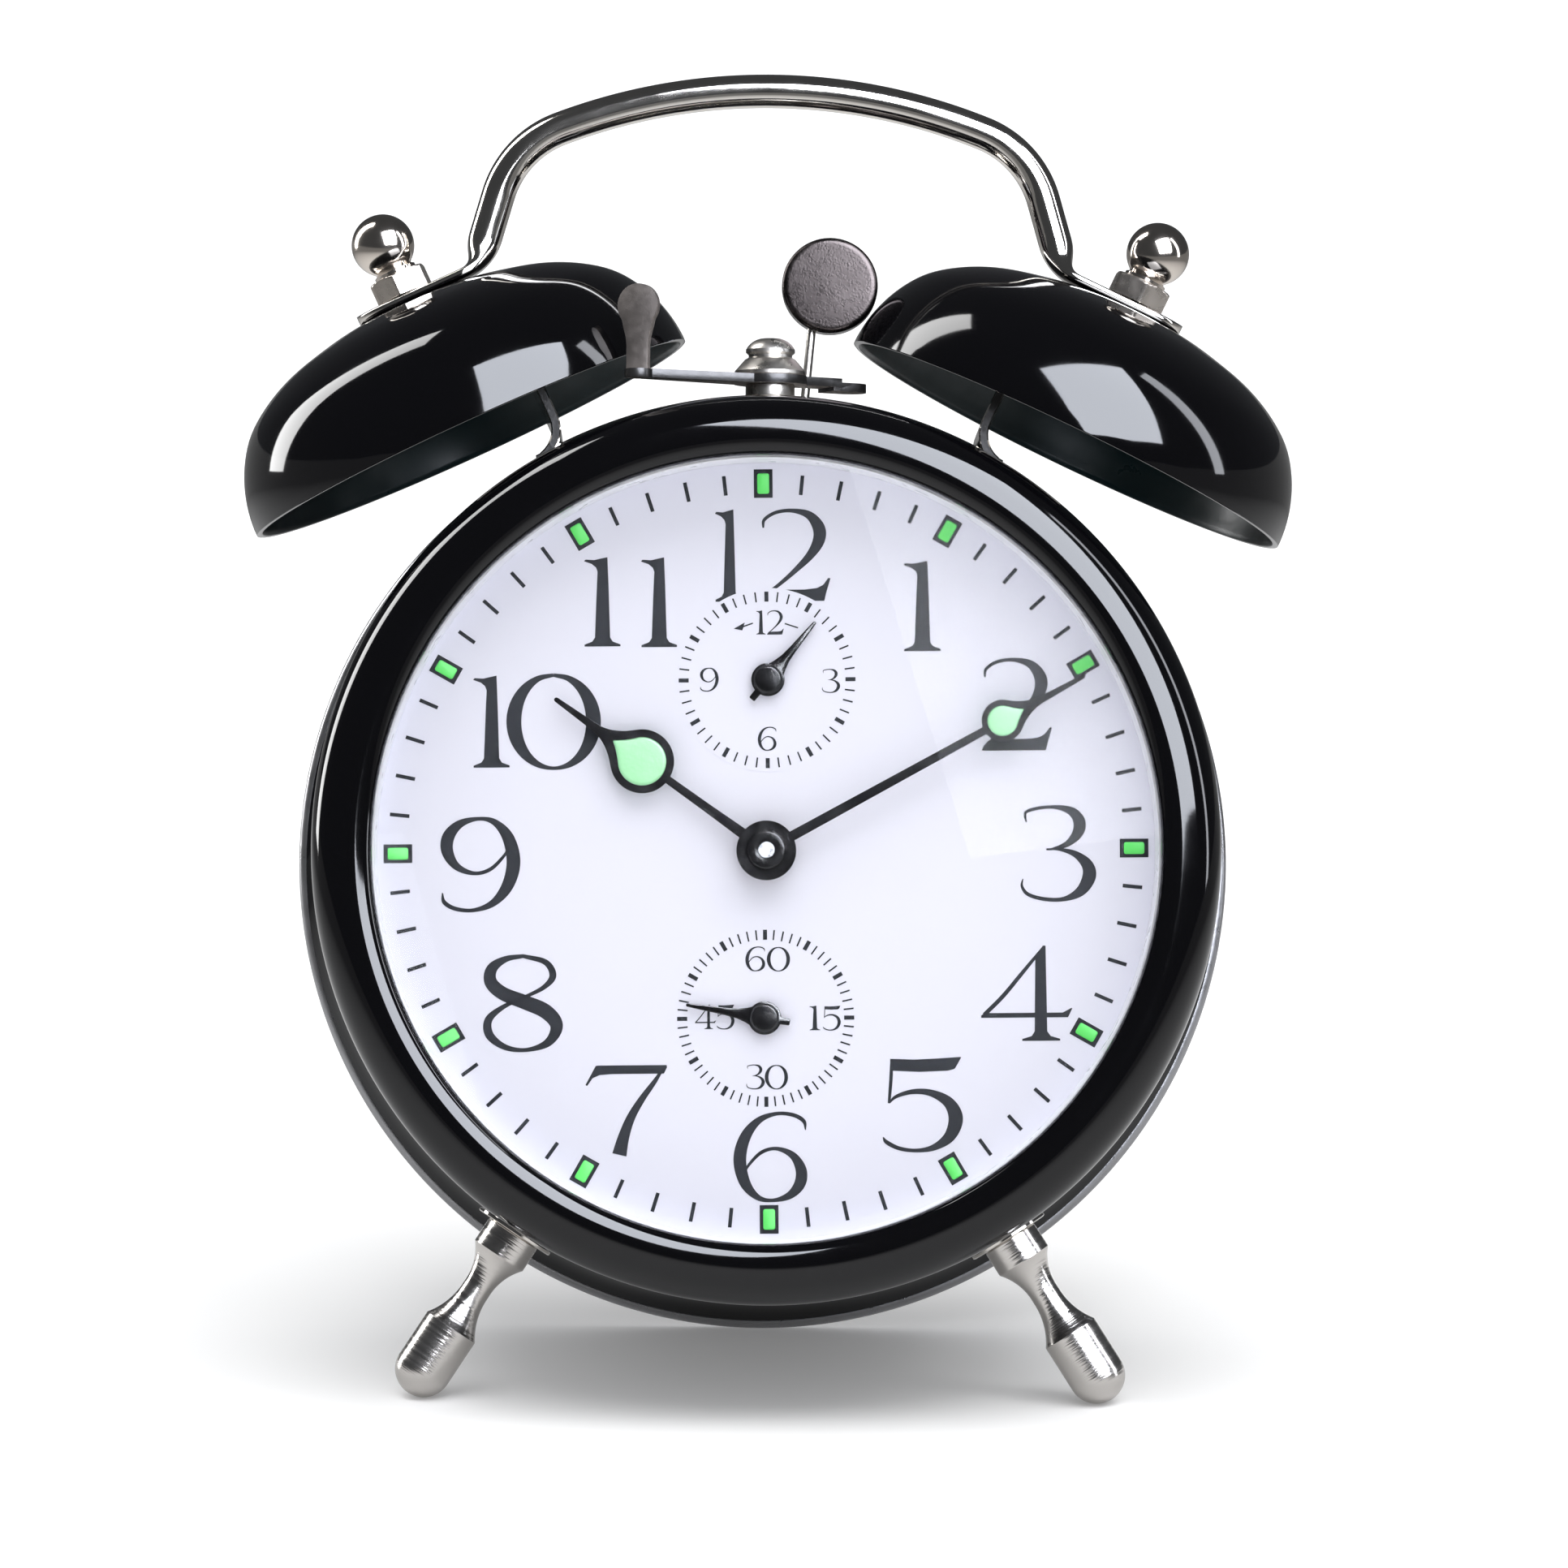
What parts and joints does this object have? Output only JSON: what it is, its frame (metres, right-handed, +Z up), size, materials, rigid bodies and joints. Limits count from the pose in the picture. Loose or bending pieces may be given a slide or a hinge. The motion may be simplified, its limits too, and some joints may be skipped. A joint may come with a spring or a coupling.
{
  "type": "alarm clock",
  "caption": "Twin-bell wind-up alarm clock with a round dial, arched carrying handle, hammer between the bells, stop lever, two splayed front feet and rear winding keys.",
  "frame": {"origin": "centre of the bounding box's footprint, on the table the clock stands on", "axes": "+Z up, -Y out of the dial towards the viewer, +X to the viewer's right; the case leans back about the X axis"},
  "size_m": [0.1334, 0.087, 0.161],
  "materials": {
    "black_lacquer": "high gloss black lacquer on pressed steel",
    "black_satin": "satin black paint with a bright rolled edge",
    "clear_lens": "clear flat window",
    "white_plastic": "smooth white moulding",
    "dial_white": "matt white enamel with dark grey print",
    "nickel_chrome": "bright nickel plate",
    "nickel_satin": "satin nickel plate",
    "hand_black": "black painted steel with green lume inserts",
    "key_brass": "bright brass",
    "movement_brass": "plain rolled brass",
    "movement_steel": "turned steel",
    "spring_steel": "blued spring steel"
  },
  "bodies": {
    "case": {"front_bezel": "black_lacquer", "lens": "clear_lens", "dial_spacer_ring": "white_plastic", "dial_plate": "dial_white", "case_drum": "black_lacquer", "rear_cover": "black_satin", "left_bell": "black_lacquer", "right_bell": "black_lacquer", "bell_bracket": "nickel_chrome", "bell_studs": "nickel_satin", "bell_sleeves": "nickel_satin", "handle_hex_nuts": "nickel_chrome", "ball_finials": "nickel_chrome", "carry_handle": "nickel_chrome", "left_foot": "nickel_chrome", "right_foot": "nickel_chrome", "foot_washers": "nickel_chrome", "inner_nuts": "nickel_satin", "lever_pivot_screw": "nickel_satin", "lever_spacer": "nickel_satin", "front_plate": "movement_brass", "back_plate": "movement_brass", "plate_pillars": "movement_steel", "cover_screws": "nickel_satin", "alarm_release_spring": "spring_steel", "hairspring": "spring_steel"},
    "stop_lever": {"stop_lever": "nickel_satin"},
    "hammer": {"hammer_head": "nickel_satin", "hammer_rod": "nickel_satin", "hammer_arbor": "movement_steel"},
    "time_setting": {"centre_arbor": "movement_steel", "cannon_pinion": "movement_brass", "minute_hand": "hand_black", "time_set_knob": "key_brass"},
    "minute_wheel": {"minute_wheel": "movement_brass"},
    "hour_hand": {"hour_wheel": "movement_brass", "hour_hand": "hand_black"},
    "alarm_wheel": {"alarm_wheel": "movement_brass"},
    "alarm_setting": {"alarm_set_arbor": "movement_steel", "alarm_hand": "hand_black", "alarm_set_knob": "key_brass"},
    "seconds_train": {"fourth_wheel": "movement_brass", "seconds_hand": "hand_black"},
    "third_wheel": {"third_wheel": "movement_brass"},
    "centre_wheel": {"centre_wheel": "movement_brass"},
    "time_great_wheel": {"time_great_wheel": "movement_brass"},
    "escape_wheel": {"escape_wheel": "movement_brass"},
    "pallet_fork": {"pallet_fork": "movement_steel"},
    "balance": {"balance_wheel": "movement_brass"},
    "regulator": {"regulator_lever": "movement_steel"},
    "time_winding": {"time_winding_arbor": "movement_steel", "time_mainspring": "spring_steel", "time_key": "key_brass"},
    "alarm_winding": {"alarm_winding_arbor": "movement_steel", "alarm_mainspring": "spring_steel", "alarm_key": "key_brass"},
    "alarm_great_wheel": {"alarm_great_wheel": "movement_brass"},
    "alarm_star_wheel": {"alarm_star_wheel": "movement_brass"},
    "time_click": {"time_click": "movement_steel"},
    "alarm_click": {"alarm_click": "movement_steel"}
  },
  "joints": [
    {"name": "stop_lever_turn", "type": "hinge", "parent": "case", "child": "stop_lever", "pos_m": [0, 0.00167, 0.12494], "axis": [0, 0.2311, 0.9729], "range_deg": [0, 25]},
    {"name": "hammer_swing", "type": "hinge", "parent": "case", "child": "hammer", "pos_m": [0.0026, 0.00984, 0.09874], "axis": [0, 0.9729, -0.2311], "range_deg": [-22.9, 0]},
    {"name": "time_set_turn", "type": "hinge", "parent": "case", "child": "time_setting", "pos_m": [0, -0.00237, 0.06464], "axis": [0, 0.9729, -0.2311], "continuous": true},
    {"name": "minute_wheel_turn", "type": "hinge", "parent": "case", "child": "minute_wheel", "pos_m": [0.01076, -0.0184, 0.06206], "axis": [0, 0.9729, -0.2311], "continuous": true},
    {"name": "hour_hand_turn", "type": "hinge", "parent": "case", "child": "hour_hand", "pos_m": [0, -0.01891, 0.06857], "axis": [0, 0.9729, -0.2311], "continuous": true},
    {"name": "alarm_wheel_turn", "type": "hinge", "parent": "case", "child": "alarm_wheel", "pos_m": [0, -0.01302, 0.08906], "axis": [0, 0.9729, -0.2311], "continuous": true},
    {"name": "alarm_set_turn", "type": "hinge", "parent": "case", "child": "alarm_setting", "pos_m": [0, 0.00255, 0.08537], "axis": [0, 0.9729, -0.2311], "continuous": true},
    {"name": "seconds_run", "type": "hinge", "parent": "case", "child": "seconds_train", "pos_m": [0, -0.00718, 0.04441], "axis": [0, 0.9729, -0.2311], "continuous": true},
    {"name": "third_wheel_turn", "type": "hinge", "parent": "case", "child": "third_wheel", "pos_m": [-0.00828, -0.00509, 0.05318], "axis": [0, 0.9729, -0.2311], "continuous": true},
    {"name": "centre_wheel_turn", "type": "hinge", "parent": "case", "child": "centre_wheel", "pos_m": [0, -0.00821, 0.06603], "axis": [0, 0.9729, -0.2311], "continuous": true},
    {"name": "time_great_wheel_turn", "type": "hinge", "parent": "case", "child": "time_great_wheel", "pos_m": [0.01755, -0.00464, 0.0724], "axis": [0, 0.9729, -0.2311], "continuous": true},
    {"name": "escape_wheel_turn", "type": "hinge", "parent": "case", "child": "escape_wheel", "pos_m": [0.00963, -0.00826, 0.03984], "axis": [0, 0.9729, -0.2311], "continuous": true},
    {"name": "pallet_rock", "type": "hinge", "parent": "case", "child": "pallet_fork", "pos_m": [0.01556, -0.00732, 0.0438], "axis": [0, 0.9729, -0.2311], "range_deg": [-3.5, 3.5]},
    {"name": "balance_swing", "type": "hinge", "parent": "case", "child": "balance", "pos_m": [0.022, -0.0063, 0.0481], "axis": [0, 0.9729, -0.2311], "range_deg": [-150, 150]},
    {"name": "regulator_turn", "type": "hinge", "parent": "case", "child": "regulator", "pos_m": [0.022, 0.00897, 0.04448], "axis": [0, 0.9729, -0.2311], "range_deg": [-18, 18]},
    {"name": "time_wind", "type": "hinge", "parent": "case", "child": "time_winding", "pos_m": [0.01755, -0.00075, 0.07147], "axis": [0, 0.9729, -0.2311], "continuous": true},
    {"name": "alarm_wind", "type": "hinge", "parent": "case", "child": "alarm_winding", "pos_m": [-0.019, -0.00052, 0.07243], "axis": [0, 0.9729, -0.2311], "continuous": true},
    {"name": "alarm_great_wheel_turn", "type": "hinge", "parent": "case", "child": "alarm_great_wheel", "pos_m": [-0.019, -0.00442, 0.07335], "axis": [0, 0.9729, -0.2311], "continuous": true},
    {"name": "alarm_star_wheel_turn", "type": "hinge", "parent": "case", "child": "alarm_star_wheel", "pos_m": [-0.01055, 0.00315, 0.08789], "axis": [0, 0.9729, -0.2311], "continuous": true},
    {"name": "time_click_lift", "type": "hinge", "parent": "time_great_wheel", "child": "time_click", "pos_m": [0.02309, -0.00407, 0.08131], "axis": [0, 0.9729, -0.2311], "range_deg": [-10, 0]},
    {"name": "alarm_click_lift", "type": "hinge", "parent": "alarm_great_wheel", "child": "alarm_click", "pos_m": [-0.02835, -0.00693, 0.06926], "axis": [0, 0.9729, -0.2311], "range_deg": [-10, 0]}
  ],
  "couplings": [
    {"joint": "minute_wheel_turn", "follows": "time_set_turn", "ratio": -0.5},
    {"joint": "hour_hand_turn", "follows": "time_set_turn", "ratio": 0.083333},
    {"joint": "alarm_wheel_turn", "follows": "time_set_turn", "ratio": -0.083333},
    {"joint": "third_wheel_turn", "follows": "seconds_run", "ratio": -0.13333},
    {"joint": "centre_wheel_turn", "follows": "seconds_run", "ratio": 0.016667},
    {"joint": "time_great_wheel_turn", "follows": "seconds_run", "ratio": -0.0027778},
    {"joint": "escape_wheel_turn", "follows": "seconds_run", "ratio": -8},
    {"joint": "alarm_star_wheel_turn", "follows": "alarm_great_wheel_turn", "ratio": -9}
  ]
}
